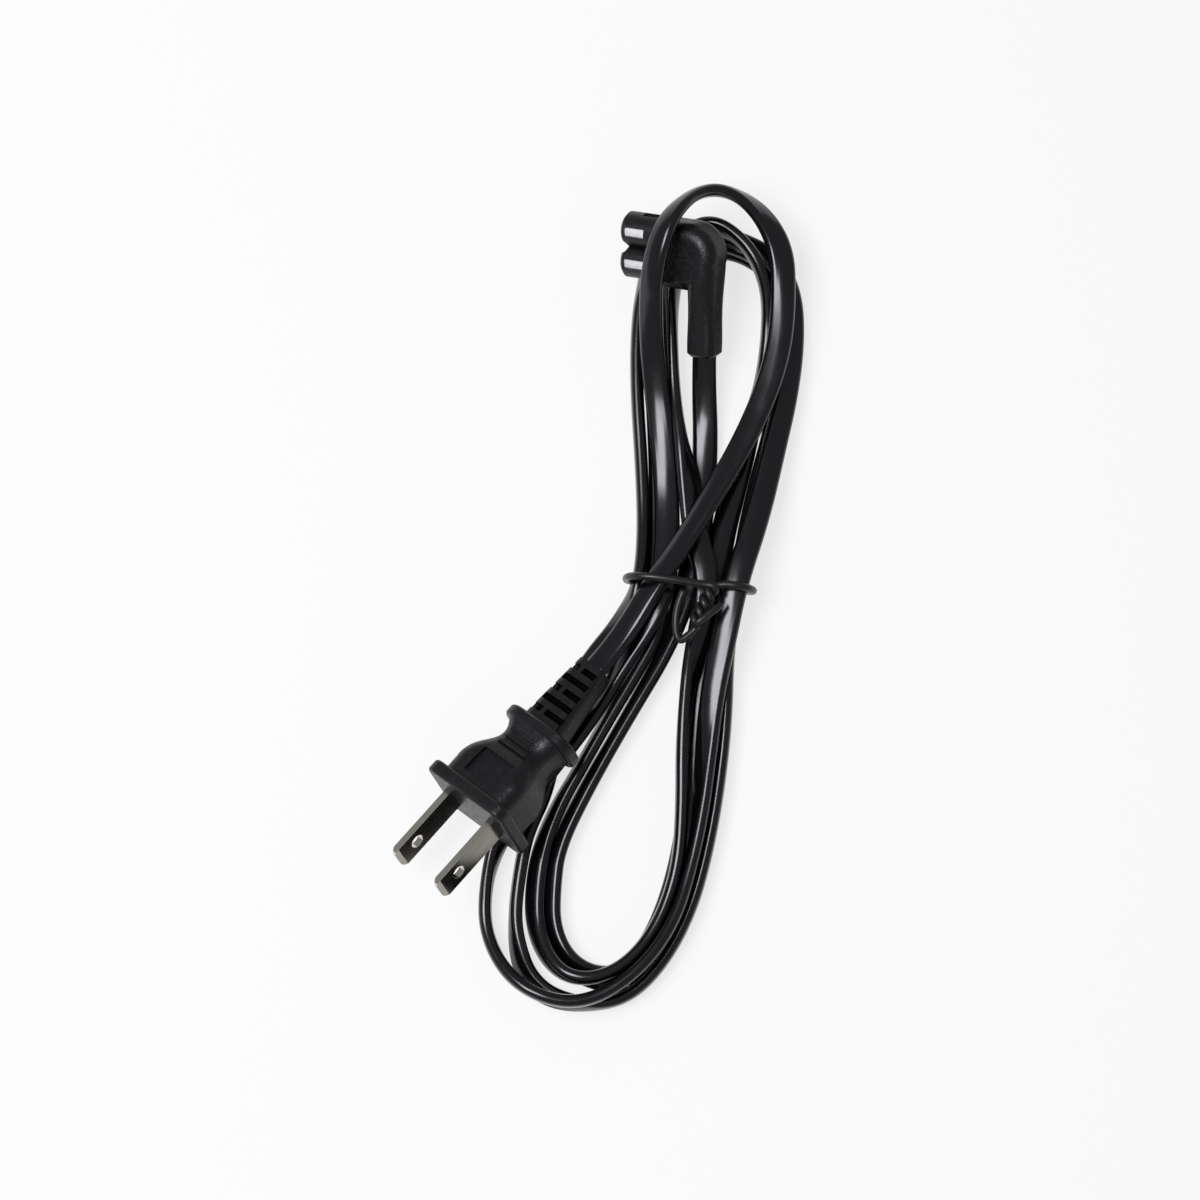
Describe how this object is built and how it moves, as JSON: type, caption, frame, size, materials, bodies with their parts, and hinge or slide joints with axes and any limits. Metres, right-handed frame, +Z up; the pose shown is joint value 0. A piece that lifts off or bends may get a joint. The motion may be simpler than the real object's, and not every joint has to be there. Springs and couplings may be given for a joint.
{
  "type": "mains power cord",
  "caption": "Flat mains cord wound in a tied hank, with a moulded flat-blade plug at one end and a right-angle figure-8 appliance connector at the other.",
  "frame": {"origin": "bottom centre of the whole part's box, on the floor the hank lies on", "axes": "+Z up; +Y along the hank, from the plug's end to the connector's end; +X to the right of that"},
  "size_m": [0.088, 0.1768, 0.0274],
  "materials": {
    "cord_pvc": "smooth black PVC",
    "moulding": "satin fine-grained black PVC",
    "blade_metal": "nickel-plated",
    "carrier": "pale moulded",
    "contact": "plain",
    "copper": "bare stranded copper",
    "tie_wire": "black plastic-covered wire"
  },
  "bodies": {
    "root": {"cord": "cord_pvc", "plug_housing": "moulding", "connector_housing": "moulding", "blade_left": "blade_metal", "blade_right": "blade_metal", "plug_bridge": "carrier", "connector_insert": "carrier", "socket_upper": "contact", "socket_lower": "contact", "plug_core_left": "copper", "plug_core_right": "copper", "connector_core_upper": "copper", "connector_core_lower": "copper", "twist_tie": "tie_wire"}
  },
  "joints": []
}
